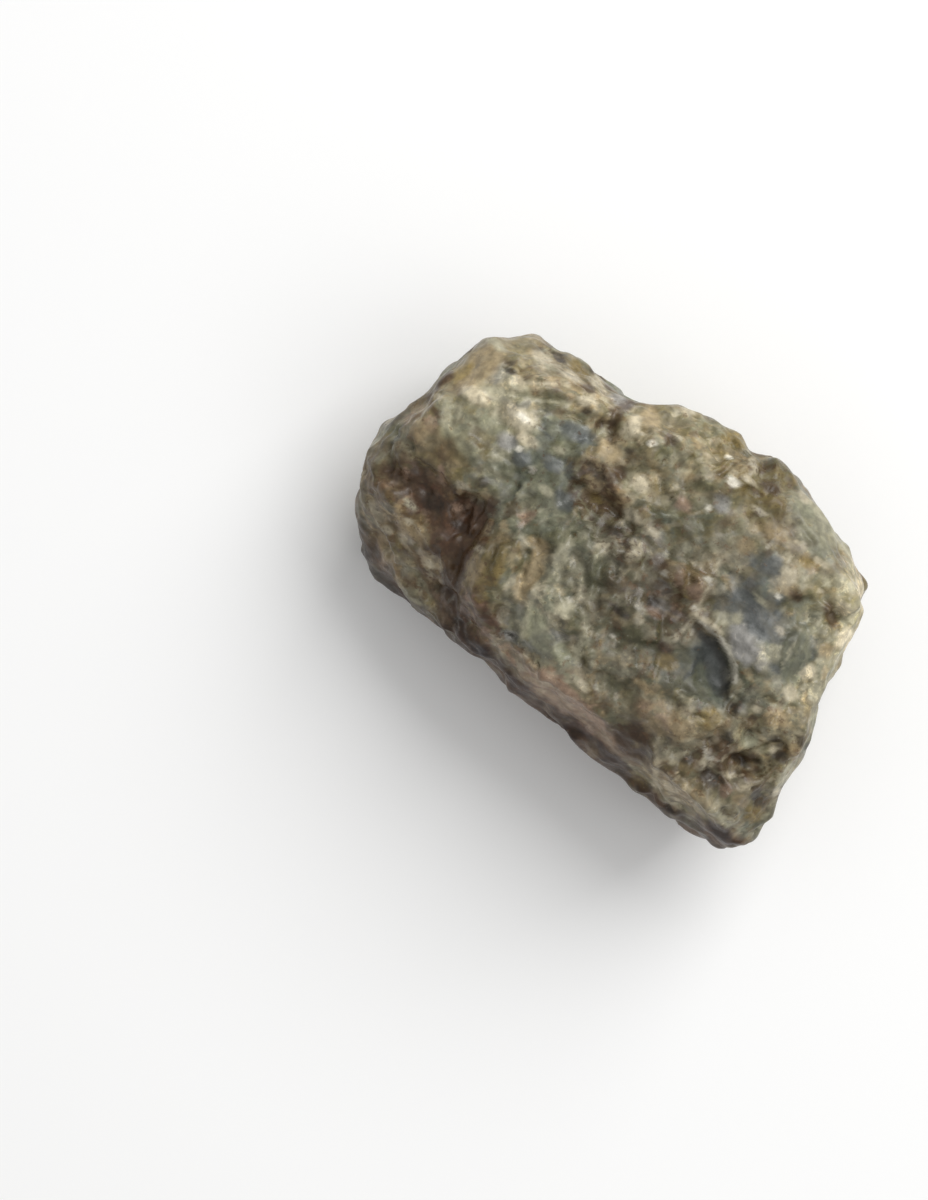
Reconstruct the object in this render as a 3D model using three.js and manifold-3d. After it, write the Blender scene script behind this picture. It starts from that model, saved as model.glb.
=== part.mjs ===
// A rough labradorite chunk: one broken piece of feldspar, lying on its flattest cleavage face.
// Millimetres, +Z up, +X along its length. The origin is on the resting face, under the stone's middle.
import * as THREE from "three";
import { ImprovedNoise } from "three/addons/math/ImprovedNoise.js";
import { mergeVertices } from "three/addons/utils/BufferGeometryUtils.js";
import Module from "manifold-3d";

const wasm = await Module();
wasm.setup();

// Driving dimensions of the finished stone.
const LENGTH = 61.4;
const WIDTH = 39.4;
const HEIGHT = 27.2;

// Every ray starts from the middle. The rays go to the corners of a sphere of triangles.
const MIDDLE = new THREE.Vector3(0, 0, 13);
const ROWS = 19; // rows of triangles along one edge of the sphere's 20 faces
const SEED = 7.3; // picks the roughness

// The widest contour, seen from above, anticlockwise from the right-hand end.
const OUTLINE = [
  [27.5, 0], [25.3, 10], [24, 14.6], [21.3, 15.3], [19.6, 16.8], [15, 18], [10, 19.4], [6.5, 19.8],
  [4, 18.6], [2.8, 19.3], [-0.5, 19.3], [-4.8, 18.2], [-7.7, 16.2], [-10.5, 15.4], [-16.5, 15.7],
  [-23, 14.5], [-27.8, 10], [-27.6, 8], [-30.5, -3.2], [-30.2, -7], [-28, -11.5], [-24.6, -15.6],
  [-21, -17.9], [-5, -17.7], [-1, -18.9], [28, -19.6], [30.2, -16.2], [31.1, -13.2], [29.8, -6],
];

// Broken faces. Each has the compass direction it faces (anticlockwise from +X), how far it tips up
// from level sight (90 is straight up), both in degrees, and a point that it passes through.
const FACES = [
  // The broad upper face and the slopes that fall away from it.
  { faces: 60, tips: 87.5, through: [4, 0, 26.2] },
  { faces: 165, tips: 80, through: [-13, 5, 26] },
  { faces: 222, tips: 72, through: [-14, -8, 24.4] },
  { faces: 262, tips: 74, through: [6, -12, 25.8] },
  { faces: 335, tips: 76, through: [22, -10, 24.8] },
  { faces: 20, tips: 74, through: [22, 8, 24.8] },
  // The upper rim.
  { faces: 173, tips: 33, through: [-25.4, 6, 23.6] },
  { faces: 137, tips: 36, through: [-24.2, 11.4, 23.4] },
  { faces: 96, tips: 42, through: [-15, 13.9, 24.6] },
  { faces: 112, tips: 38, through: [-5, 16.4, 24.2] },
  { faces: 84, tips: 44, through: [6, 17.8, 24.4] },
  { faces: 64, tips: 40, through: [17, 15.4, 23.8] },
  { faces: 14, tips: 26, through: [25, 9, 22.6] },
  { faces: 345, tips: 34, through: [28.6, -8, 21.8] },
  { faces: 270, tips: 20, through: [8, -15.6, 24.2] },
  { faces: 248, tips: 30, through: [-8, -15.6, 22.8] },
  { faces: 292, tips: 24, through: [27.8, -17.2, 21.6] },
  { faces: 208, tips: 34, through: [-27.2, -9.6, 19.4] },
  // The steep walls.
  { faces: 88, tips: 4, through: [5, 19.8, 15] },
  { faces: 58, tips: 12, through: [22, 16.4, 15] },
  { faces: 15, tips: 4, through: [27.3, 1, 14] },
  { faces: 168, tips: 8, through: [-30, 0, 13] },
  // The undercut sides, down to the resting face.
  { faces: 268, tips: -30, through: [0, -18.6, 6.5] },
  { faces: 92, tips: -19, through: [-2, 18.2, 12.5] },
  { faces: 60, tips: -31, through: [20.5, 16.5, 12] },
  { faces: 184, tips: -30, through: [-29.4, -1, 10.5] },
  { faces: 146, tips: -22, through: [-25.6, 11.6, 9] },
  { faces: 222, tips: -43, through: [-25.6, -14.8, 8] },
  { faces: 356, tips: -20, through: [31, -13, 14] },
  { faces: 318, tips: -36, through: [30.4, -18.8, 10] },
  // The uncut underside, below the resting face.
  { faces: 0, tips: -90, through: [0, 0, -2] },
];

// Scoops where a flake has come away: the ball that would fill the scoop, by its middle and radius.
const SCOOPS = [
  { middle: [-15, 38, 4], radius: 24 },
  { middle: [58, 10, 2], radius: 33 },
  { middle: [6, -62, -4], radius: 47 },
  { middle: [-60, 4, -6], radius: 36 },
];

// Lumps (rise above 0) and hollows (rise below 0) of the upper face: middle, half length, half width,
// turn of the length from +X in degrees, and height.
const RELIEF = [
  { at: [-19.5, -7.5], half: [8, 4.2], turn: 12, rise: -1.5 },
  { at: [-17.5, -13], half: [6, 3.5], turn: -15, rise: -0.9 },
  { at: [-10.8, -10.2], half: [6.4, 3.2], turn: -62, rise: 2 },
  { at: [-9.8, 12.2], half: [4.5, 2], turn: 80, rise: -1.3 },
  { at: [-5.4, 11.8], half: [4.8, 3.6], turn: 60, rise: 0.9 },
  { at: [-19, 10.5], half: [6, 2.6], turn: 22, rise: 0.7 },
  { at: [-4.4, 2.6], half: [5.5, 3], turn: -10, rise: -0.9 },
  { at: [6.6, 2], half: [4.2, 2.8], turn: 10, rise: 1 },
  { at: [14.6, -3.2], half: [5, 3.6], turn: -20, rise: -1.4 },
  { at: [16.4, 0.9], half: [4.2, 2.8], turn: -22, rise: 0.8 },
  { at: [21.3, 8.9], half: [3.6, 2.8], turn: -25, rise: -0.8 },
  { at: [22.6, 11.6], half: [3.2, 2.2], turn: -30, rise: 0.6 },
  { at: [16.8, -9], half: [4.4, 3.2], turn: 40, rise: 0.9 },
  { at: [19.2, -5.4], half: [3.4, 2.6], turn: 80, rise: -0.6 },
  { at: [24.2, -9], half: [5.5, 4], turn: 5, rise: -0.9 },
  { at: [12.4, -15.2], half: [3.6, 2.2], turn: -15, rise: -1.2 },
  { at: [3, -14], half: [6, 2], turn: 2, rise: 0.7 },
];

// Roughness of the break: wavelength and height of each layer.
const ROUGHNESS = [
  { wave: 13, height: 1 },
  { wave: 5.5, height: 0.8 },
  { wave: 3, height: 0.4 },
];
// The relief of the upper face grows from nothing at the first height to all of it at the second.
const RELIEF_FROM = 14;
const RELIEF_TO = 21;

const perlin = new ImprovedNoise();

// Each surface of the stone as the length of a ray from the middle to it.
function lengthToFace({ faces, tips, through }) {
  const around = THREE.MathUtils.degToRad(faces);
  const up = THREE.MathUtils.degToRad(tips);
  const level = Math.cos(up);
  const outward = new THREE.Vector3(level * Math.cos(around), level * Math.sin(around), Math.sin(up));
  const depth = outward.dot(new THREE.Vector3(...through).sub(MIDDLE));
  return (direction) => {
    const facing = outward.dot(direction);
    return facing > 0 ? depth / facing : Infinity;
  };
}

function lengthToScoop({ middle, radius }) {
  const ball = new THREE.Sphere(new THREE.Vector3(...middle), radius);
  const hit = new THREE.Vector3();
  return (direction) => {
    const meets = new THREE.Ray(MIDDLE, direction).intersectSphere(ball, hit);
    return meets ? hit.distanceTo(MIDDLE) : Infinity;
  };
}

function lengthToWall([ax, ay], i) {
  const [bx, by] = OUTLINE[(i + 1) % OUTLINE.length];
  return ({ x, y }) => {
    const cross = x * (by - ay) - y * (bx - ax);
    const length = (ax * (by - ay) - ay * (bx - ax)) / cross;
    const share = (ax * y - ay * x) / cross;
    return length > 0 && share >= 0 && share <= 1 ? length : Infinity;
  };
}

const SURFACES = [
  ...FACES.map(lengthToFace),
  ...SCOOPS.map(lengthToScoop),
  ...OUTLINE.map(lengthToWall),
];

// The surface that a ray meets first, and how far away it is.
function surfaceAlong(direction) {
  const lengths = SURFACES.map((lengthTo) => lengthTo(direction));
  const length = Math.min(...lengths);
  return { surface: lengths.indexOf(length), length };
}

const between = (from, to, share) => from.clone().lerp(to, share).normalize();

// The share of the way between two rays at which the first one's surface ends.
function shareToEdge(from, to) {
  const { surface } = surfaceAlong(from);
  let near = 0;
  let far = 1;
  for (let step = 0; step < 12; step += 1) {
    const share = (near + far) / 2;
    if (surfaceAlong(between(from, to, share)).surface === surface) near = share;
    else far = share;
  }
  return far;
}

const pointAlong = (ray) => ray.clone().multiplyScalar(surfaceAlong(ray).length).add(MIDDLE);

// The rays, with those beside an edge between two surfaces turned to that edge, which keeps it crisp.
// A ray beside two edges takes the one that would lose the most.
function raysToEdges(rays, index) {
  const surfaces = rays.map((ray) => surfaceAlong(ray).surface);
  const turned = rays.map((ray) => ({ ray, loss: 0 }));
  for (let i = 0; i < index.count; i += 1) {
    const a = index.getX(i);
    const b = index.getX(i % 3 === 2 ? i - 2 : i + 1);
    if (a > b || surfaces[a] === surfaces[b]) continue;
    const share = shareToEdge(rays[a], rays[b]);
    const ray = between(rays[a], rays[b], share);
    const edge = pointAlong(ray);
    const chord = new THREE.Line3(pointAlong(rays[a]), pointAlong(rays[b]));
    const loss = chord.closestPointToPoint(edge, true, new THREE.Vector3()).distanceTo(edge);
    const closest = share < 0.5 ? a : b;
    if (loss > turned[closest].loss) turned[closest] = { ray, loss };
  }
  return turned.map(({ ray }) => ray);
}

// A closed surface whose triangles share their corners, which is what a cut works on.
function bareGeometry(geometry) {
  geometry.deleteAttribute("normal");
  geometry.deleteAttribute("uv");
  return mergeVertices(geometry, 1e-4);
}

function noiseAt({ x, y, z }, wave, shift) {
  return perlin.noise(x / wave + SEED + shift, y / wave + SEED * 2 + shift, z / wave + SEED * 3);
}

function reliefAt(x, y) {
  return RELIEF.reduce((sum, { at, half, turn, rise }) => {
    const angle = THREE.MathUtils.degToRad(turn);
    const along = ((x - at[0]) * Math.cos(angle) + (y - at[1]) * Math.sin(angle)) / half[0];
    const across = ((y - at[1]) * Math.cos(angle) - (x - at[0]) * Math.sin(angle)) / half[1];
    const left = Math.max(0, 1 - along * along - across * across);
    return sum + rise * left * left * (3 - 2 * left);
  }, 0);
}

// Where a point of the smooth-faced stone goes on the rough one.
function roughened(point) {
  const moved = point.clone();
  for (const { wave, height } of ROUGHNESS) {
    moved.x += height * noiseAt(point, wave, 0);
    moved.y += height * noiseAt(point, wave, 11);
    moved.z += height * noiseAt(point, wave, 23);
  }
  moved.z += reliefAt(point.x, point.y) * THREE.MathUtils.smoothstep(point.z, RELIEF_FROM, RELIEF_TO);
  return moved;
}

function roughStone() {
  const sphere = bareGeometry(new THREE.IcosahedronGeometry(1, ROWS - 1));
  const { position } = sphere.attributes;
  const spread = new THREE.Vector3(LENGTH, WIDTH, HEIGHT);
  const rays = Array.from({ length: position.count }, (_, i) =>
    new THREE.Vector3().fromBufferAttribute(position, i).multiply(spread).normalize(),
  );
  raysToEdges(rays, sphere.index).forEach((ray, i) => {
    position.setXYZ(i, ...roughened(pointAlong(ray)));
  });
  return sphere;
}

function restingCut() {
  const size = 3 * LENGTH;
  return bareGeometry(new THREE.BoxGeometry(size, size, size).translate(0, 0, -size / 2));
}

function solidFrom(geometry) {
  return new wasm.Manifold(
    new wasm.Mesh({
      numProp: 3,
      vertProperties: geometry.attributes.position.array,
      triVerts: new Uint32Array(geometry.index.array),
    }),
  );
}

function geometryFrom(solid) {
  const { vertProperties, triVerts } = solid.getMesh();
  const geometry = new THREE.BufferGeometry();
  geometry.setAttribute("position", new THREE.BufferAttribute(vertProperties, 3));
  geometry.setIndex(new THREE.BufferAttribute(triVerts, 1));
  return geometry;
}

// Brings the box of the finished stone to the driving dimensions, over the origin.
function toSize(geometry) {
  geometry.computeBoundingBox();
  const box = geometry.boundingBox;
  const size = box.getSize(new THREE.Vector3());
  const middle = box.getCenter(new THREE.Vector3());
  geometry.translate(-middle.x, -middle.y, -box.min.z);
  geometry.scale(LENGTH / size.x, WIDTH / size.y, HEIGHT / size.z);
  return geometry;
}

const stone = new THREE.Mesh(
  toSize(geometryFrom(solidFrom(roughStone()).subtract(solidFrom(restingCut())))),
  new THREE.MeshStandardMaterial({ color: 0x77705f, roughness: 0.55, metalness: 0 }),
);
stone.name = "labradorite_chunk";

const group = new THREE.Group();
group.add(stone);
export default group;
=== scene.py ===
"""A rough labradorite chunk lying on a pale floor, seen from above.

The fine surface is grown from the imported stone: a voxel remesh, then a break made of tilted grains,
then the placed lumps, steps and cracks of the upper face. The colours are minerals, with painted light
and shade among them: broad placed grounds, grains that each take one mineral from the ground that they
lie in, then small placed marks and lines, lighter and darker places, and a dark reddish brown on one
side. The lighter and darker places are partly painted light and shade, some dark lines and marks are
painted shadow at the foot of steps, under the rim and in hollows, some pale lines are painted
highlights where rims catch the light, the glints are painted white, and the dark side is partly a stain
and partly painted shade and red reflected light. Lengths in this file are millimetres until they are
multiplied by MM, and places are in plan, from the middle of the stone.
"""

import math

import bmesh
import bpy
import numpy as np
from mathutils import Matrix, Vector, kdtree, noise


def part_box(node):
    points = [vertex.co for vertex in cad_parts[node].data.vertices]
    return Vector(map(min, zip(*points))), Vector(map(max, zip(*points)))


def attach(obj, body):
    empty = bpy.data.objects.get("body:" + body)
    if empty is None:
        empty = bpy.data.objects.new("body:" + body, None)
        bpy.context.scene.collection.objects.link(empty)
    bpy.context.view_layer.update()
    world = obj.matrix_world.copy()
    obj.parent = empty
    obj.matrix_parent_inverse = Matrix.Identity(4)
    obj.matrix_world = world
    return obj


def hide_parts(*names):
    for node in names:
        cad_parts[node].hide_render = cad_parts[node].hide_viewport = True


MM = 0.001
NODE = "labradorite_chunk"
VOXEL = 0.33
WELD = 1e-7  # metres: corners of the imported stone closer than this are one
SEED = 11
LAYER_SHIFT = 9  # how far apart the layers of a layered noise are sampled
LAYER_FADE = 1.8  # how much weaker each layer is than the one before

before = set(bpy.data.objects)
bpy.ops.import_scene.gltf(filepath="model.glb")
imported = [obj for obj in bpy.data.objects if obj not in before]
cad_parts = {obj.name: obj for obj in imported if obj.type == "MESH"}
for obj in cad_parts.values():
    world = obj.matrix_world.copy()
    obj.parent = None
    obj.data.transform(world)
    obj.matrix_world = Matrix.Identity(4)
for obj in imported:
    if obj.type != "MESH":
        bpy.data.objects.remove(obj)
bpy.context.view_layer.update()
rng = np.random.default_rng(SEED)


# ---------------------------------------------------------------- helpers

def rgb(red, green, blue):
    """An sRGB colour, 0 to 255, as linear light."""
    values = np.array([red, green, blue]) / 255
    return np.where(values <= 0.04045, values / 12.92, ((values + 0.055) / 1.055) ** 2.4)


def smooth(low, high, values):
    """A soft rise from 0 at low to 1 at high. Low may be the larger of the two."""
    share = np.clip((values - low) / (high - low), 0, 1)
    return share * share * (3 - 2 * share)


def noise_at(points, wave, shift):
    """Gradient noise, about -1 to 1. The shift picks one of many patterns."""
    offset = Vector((shift, shift * 1.7, shift * 0.6))
    return np.array([noise.noise(Vector(p) / wave + offset) for p in points])


def layered(points, wave, shift, layers=3):
    """Noise with finer and weaker noise added to it."""
    return sum(
        noise_at(points, wave / 2**i, shift + LAYER_SHIFT * i) / LAYER_FADE**i for i in range(layers)
    )


def turned(points, centre, angle):
    """Lengths along and across a direction, from a centre, in plan."""
    a = math.radians(angle)
    x, y = points[:, 0] - centre[0], points[:, 1] - centre[1]
    return x * math.cos(a) + y * math.sin(a), y * math.cos(a) - x * math.sin(a)


def ellipse(points, centre, half, angle, edge):
    """1 inside an ellipse in plan, 0 outside it, with a soft edge."""
    along, across = turned(points, centre, angle)
    reach = np.hypot(along / half[0], across / half[1])
    return 1 - smooth(1 - edge, 1 + edge, reach)


def path_distance(points, path):
    """Distance in plan from each point to a path, and how far it is to the path's left."""
    best = np.full(len(points), np.inf)
    side = np.zeros(len(points))
    flat = points[:, :2]
    for a, b in zip(path[:-1], path[1:]):
        a, b = np.array(a, float), np.array(b, float)
        run = b - a
        share = np.clip((flat - a) @ run / (run @ run), 0, 1)
        away = flat - (a + share[:, None] * run)
        distance = np.hypot(away[:, 0], away[:, 1])
        left = run[0] * away[:, 1] - run[1] * away[:, 0]
        closer = distance < best
        best = np.where(closer, distance, best)
        side = np.where(closer, np.sign(left), side)
    return best, side * best


# ---------------------------------------------------------------- the shape

# Paths that the shape and the colours follow.
LEDGE = [(17.6, -4.0), (17.0, -2.6), (15.4, -1.5), (13.4, -0.8), (11.0, -0.7)]
SCARP = [(-11.2, -15.4), (-12.8, -13.0), (-14.1, -10.4), (-14.3, -8.0), (-14.5, -5.4), (-13.2, -4.4)]
RIM_CRACK = [(-9.6, -15.8), (-6.0, -16.5), (-3.0, -17.3), (0.0, -17.8), (4.2, -18.0)]
VALLEY = [(-9.9, 14.4), (-10.3, 13.0), (-10.0, 11.4), (-9.1, 9.8)]
LEFT_EDGE = [(-27.9, 4.8), (-28.7, 2.0), (-29.4, -0.6), (-30.2, -3.4)]
# Where the dark reddish brown of the side that faces -Y begins: partly a stain, partly painted shade
# and painted red reflected light.
FOOT = [
    (-31.0, -14.5), (-24.0, -17.6), (-10.0, -17.2), (-5.0, -16.5), (2.0, -16.9), (10.0, -16.9),
    (15.0, -17.8), (20.0, -18.5), (24.0, -17.6), (27.0, -16.9), (31.0, -16.0),
]

# Lumps and hollows of the upper face: centre, half size, turn, rise.
LUMPS = [
    ((-13.2, -8.8), (1.5, 1.3), -50, 0.7),
    ((-12.0, -11.6), (2.0, 1.3), -62, 0.5),
    ((-22.4, 9.2), (0.9, 0.6), 10, -0.8),
    ((-17.5, 5.8), (2.9, 1.5), 8, 0.4),
    ((-24.0, 4.5), (1.9, 1.0), 8, 0.35),
    ((-7.6, 13.2), (1.9, 2.8), -14, 0.55),
    ((-3.4, 7.6), (1.7, 1.6), 20, 0.45),
    ((6.8, 2.0), (2.6, 1.6), 15, 0.5),
    ((8.6, 1.6), (1.2, 0.9), -20, 0.35),
    ((16.0, 0.8), (2.9, 1.3), -24, 0.45),
    ((15.0, -3.2), (2.8, 1.3), -30, -0.25),
    ((22.2, 10.4), (1.1, 0.9), 10, 0.6),
    ((21.2, 9.0), (2.0, 1.1), -32, -0.75),
    ((23.4, 6.6), (1.5, 1.9), 5, 0.45),
    ((20.8, 12.5), (1.7, 1.0), -12, 0.35),
    ((23.4, -4.0), (1.8, 1.2), 22, 0.5),
    ((15.8, -10.5), (2.0, 1.5), 25, 0.45),
    ((17.6, -7.8), (1.6, 1.4), 60, 0.4),
    ((4.6, 14.0), (1.7, 1.0), 8, 0.35),
    ((0.6, 1.4), (0.9, 1.7), 8, 0.35),
    ((-20.4, -6.9), (3.2, 1.5), 8, -0.15),
    ((12.2, -14.8), (2.6, 1.6), -10, -0.35),
    ((28.2, -8.2), (1.1, 2.2), 5, 0.35),
    ((27.8, -11.7), (1.2, 0.9), 0, -0.3),
    ((22.0, -13.2), (1.7, 1.0), -10, -0.4),
    ((26.9, -6.8), (0.8, 0.6), 0, -0.3),
]

# Steps: the ground to the left of each path is lower, and climbs back over a run.
STEPS = [
    (SCARP, 1.1, 3.0),
    (LEDGE, 0.60, 3.4),
    (VALLEY[::-1], 0.4, 1.6),
    ([(-16.0, -4.0), (-20.5, -4.6), (-25.5, -5.0)], 0.45, 2.4),
    ([(24.0, 10.6), (21.8, 9.4), (20.4, 7.6)], 0.5, 1.8),
    ([(10.4, 19.0), (10.2, 15.6), (11.4, 12.6)], 0.4, 2.4),
]

# Cracks: path, half width, depth.
CRACKS = [
    (RIM_CRACK, 0.7, 0.4),
    ([(19.3, -3.8), (19.0, -5.2), (19.3, -6.4)], 0.35, 0.8),
    (SCARP[:-1], 0.8, 0.3),
    (VALLEY, 0.4, 0.45),
    ([(2.0, 17.6), (3.0, 15.4), (2.4, 12.6)], 0.3, 0.45),
    ([(10.6, -13.6), (13.0, -13.2), (16.6, -14.4)], 0.5, 0.25),
    ([(-4.8, 3.6), (-2.0, 3.2), (0.2, 1.8)], 0.35, 0.4),
]

# Ribs, side by side: centre, half size, direction they run in, spacing, height.
RIBS = [
    ((-16.6, 10.0), (5.5, 3.6), 28, 1.5, 0.28),
    ((-3.0, -8.0), (5.6, 7.0), -62, 1.7, 0.20),
    ((7.0, -10.5), (4.6, 4.4), -58, 1.5, 0.16),
    ((20.2, 2.2), (2.6, 4.6), -72, 0.9, 0.12),
    ((-19.0, -1.5), (6.0, 2.4), 18, 1.5, 0.10),
]

# Layers of the break: passes of wear, spacing of the grains, their slope, the jump between them,
# how stretched they are, and which way.
BLOCKS = (3, 4.6, 0.12, 0.14, 1.0, 0)
CHIPS = (2, 1.9, 0.20, 0.07, 1.5, -62)
CRUMBS = (2, 0.95, 0.22, 0.03, 1.0, 0)

GRAIN_AREA = 9500  # square millimetres of surface that the grains are counted for
GRAIN_SCATTER = 0.1  # in grain spacings: how far a seed strays off the surface
GRAIN_WARP_WAVE = 1.3  # in grain spacings: the wave of the ragged borders
GRAIN_WARP = 0.28  # in grain spacings: how ragged the borders are
FACET_LIMIT = 2.2  # how many times its usual height a facet may reach

# Cleavage steps of the sides: the direction across them, spacing, height, noise pattern.
TERRACES = [((0.28, 0.12, 0.95), 4.4, 0.4, 3.0), ((0.80, -0.55, 0.22), 6.2, 0.35, 8.0)]

POLISH = 0.8  # how much of the break and of the flecks is gone where the stone is glassy

# Wear of the sides: how strong it is, and how many passes.
SIDE_WEAR = 0.85
SIDE_PASSES = 6

# Where the outline is drawn in a little: centre, half size, shift.
NUDGES = [
    ((-14.0, 16.5), (9.0, 3.0), (0.0, -1.1)),
    ((-25.8, 14.2), (2.6, 2.6), (0.5, -0.5)),
    ((-30.2, 0.8), (2.2, 3.0), (1.0, 0.0)),
    ((0.6, 20.6), (2.8, 2.2), (0.0, -0.8)),
    ((-2.8, 19.6), (2.4, 2.0), (0.0, -0.6)),
    ((4.0, 19.6), (1.4, 1.8), (0.0, -0.5)),
    ((18.6, 17.4), (2.8, 2.4), (-0.3, -0.7)),
    ((15.0, 18.6), (3.0, 2.0), (-0.2, -0.5)),
    ((22.9, 16.3), (1.8, 1.8), (-0.2, -0.8)),
    ((28.4, 0.2), (1.8, 2.4), (-0.7, 0.0)),
]

# Smooth glassy places: centre, half size, turn.
CALM = [
    ((14.6, 3.2), (3.6, 2.4), -10),
    ((15.6, 0.6), (2.8, 1.5), -26),
    ((14.6, -3.8), (3.9, 2.9), -20),
    ((-25.6, 7.6), (2.2, 4.6), -6),
    ((-24.0, 12.4), (2.4, 1.6), 36),
    ((-23.6, -1.9), (3.4, 1.8), 8),
    ((-7.0, 14.2), (1.4, 1.4), 20),
    ((14.4, 16.2), (4.0, 1.8), -18),
    ((-3.4, -12.2), (3.0, 1.6), -14),
    ((26.4, -18.0), (3.8, 1.4), 4),
    ((26.2, -13.2), (1.5, 1.1), 0),
    ((7.0, -16.8), (8.0, 1.2), -3),
    ((20.8, 2.6), (1.6, 3.2), 6),
]


def fine_copy():
    """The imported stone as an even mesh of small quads, in millimetres."""
    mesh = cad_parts[NODE].data.copy()
    work = bmesh.new()
    work.from_mesh(mesh)
    bmesh.ops.remove_doubles(work, verts=work.verts, dist=WELD)
    work.to_mesh(mesh)
    work.free()
    mesh.transform(Matrix.Scale(1 / MM, 4))
    piece = bpy.data.objects.new("labradorite_surface", mesh)
    bpy.context.scene.collection.objects.link(piece)
    remesh = piece.modifiers.new("even", "REMESH")
    remesh.mode = "VOXEL"
    remesh.voxel_size = VOXEL
    remesh.adaptivity = 0
    evaluated = piece.evaluated_get(bpy.context.evaluated_depsgraph_get())
    fine = bpy.data.meshes.new_from_object(evaluated)
    piece.modifiers.clear()
    piece.data = fine
    piece.data.name = piece.name
    return piece


def coordinates(mesh):
    """The places of a mesh's vertices, one row each."""
    co = np.empty(len(mesh.vertices) * 3)
    mesh.vertices.foreach_get("co", co)
    return co.reshape(-1, 3)


def set_coordinates(mesh, co):
    mesh.vertices.foreach_set("co", co.astype(np.float32).ravel())
    mesh.update()


def vertex_normals(mesh):
    """The normals of a mesh's vertices, one row each."""
    normals = np.empty(len(mesh.vertices) * 3, np.float32)
    mesh.vertices.foreach_get("normal", normals)
    return normals.reshape(-1, 3).astype(float)


def relaxed(mesh, values, passes):
    """Values on vertices, each drawn towards the mean of its neighbours' again and again."""
    pairs = np.empty(len(mesh.edges) * 2, int)
    mesh.edges.foreach_get("vertices", pairs)
    a, b = pairs.reshape(-1, 2).T
    count = np.bincount(a, minlength=len(values)) + np.bincount(b, minlength=len(values))
    for _ in range(passes):
        total = np.stack(
            [
                np.bincount(a, values[b, k], len(values)) + np.bincount(b, values[a, k], len(values))
                for k in range(values.shape[1])
            ],
            1,
        )
        values = 0.5 * values + 0.5 * total / count[:, None]
    return values


def tree_of(points):
    """A search tree of points."""
    tree = kdtree.KDTree(len(points))
    for i, point in enumerate(points):
        tree.insert(point, i)
    tree.balance()
    return tree


def grains(points, spacing, stretch, angle):
    """Random grains about that far apart: the grain that each point lies in, and their centres.

    Stretched grains are laths that run in one direction in plan.
    """
    count = int(GRAIN_AREA / spacing**2)
    seeds = points[rng.integers(0, len(points), count)]
    seeds = seeds + rng.normal(0, spacing * GRAIN_SCATTER, (count, 3))
    warp = np.stack([noise_at(points, spacing * GRAIN_WARP_WAVE, s) for s in (3.1, 17.7, 29.3)], 1)
    a = math.radians(angle)
    turn = np.array([[math.cos(a), math.sin(a), 0], [-math.sin(a), math.cos(a), 0], [0, 0, 1]])
    squeeze = np.array([1 / stretch, 1, 1])
    tree = tree_of((seeds @ turn.T) * squeeze)
    placed = ((points + warp * spacing * GRAIN_WARP) @ turn.T) * squeeze
    cell = np.array([tree.find(p)[1] for p in placed])
    return cell, seeds


def facets(points, spacing, slope, jump, stretch, angle):
    """Heights of a surface broken into tilted grains."""
    cell, seeds = grains(points, spacing, stretch, angle)
    tilt = rng.normal(0, slope, seeds.shape)
    offset = rng.normal(0, jump, len(seeds))
    away = points - seeds[cell]
    height = (tilt[cell] * away).sum(1) + offset[cell]
    limit = FACET_LIMIT * (slope * spacing * 0.5 + jump)
    return np.clip(height, -limit, limit)


def soft_facets(mesh, points, passes, *kind):
    """The heights of facets with their steps worn a little."""
    return relaxed(mesh, facets(points, *kind)[:, None], passes)[:, 0]


def upper_relief(points):
    """Heights of the lumps, steps, cracks and ribs of the upper face."""
    wander = np.stack([noise_at(points, 2.2, 41.0), noise_at(points, 2.2, 57.0)], 1)
    loose = points.copy()
    loose[:, :2] += 0.55 * wander
    height = np.zeros(len(points))
    for centre, half, angle, rise in LUMPS:
        height += rise * ellipse(loose, centre, half, angle, 0.45)
    for path, drop, run in STEPS:
        distance, side = path_distance(loose, path)
        height -= drop * smooth(-0.25, 0.25, side) * np.exp(-((distance / run) ** 2))
    for path, half, depth in CRACKS:
        distance, _ = path_distance(loose, path)
        height -= depth * (1 - smooth(0, 2 * half, distance))
    for centre, half, angle, spacing, rise in RIBS:
        _, across = turned(loose, centre, angle)
        wave = np.abs(((across / spacing + 0.6 * noise_at(points, 3.5, centre[0])) % 1) - 0.5) * 4 - 1
        height += rise * wave * ellipse(loose, centre, half, angle, 0.6)
    return height


def calm(points):
    """1 where the upper face is smooth and glassy, 0 where it is crumbly."""
    weight = np.zeros(len(points))
    for centre, half, angle in CALM:
        weight = np.maximum(weight, ellipse(points, centre, half, angle, 0.3))
    return weight * smooth(13, 18, points[:, 2])


def terraces(points, across, spacing, height, shift):
    """Cleavage steps: heights that rise slowly along a direction, then drop back, here and there."""
    bend = 0.7 * noise_at(points, 2.2 * spacing, shift)
    way = points @ np.array(across) / spacing + bend
    share = way % 1
    present = smooth(-0.15, 0.2, noise_at(points, 9.0, shift + 31.0))
    drop = smooth(0.75, 1.0, share)
    mean = 0.37
    return height * present * (share - drop - mean)


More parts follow.
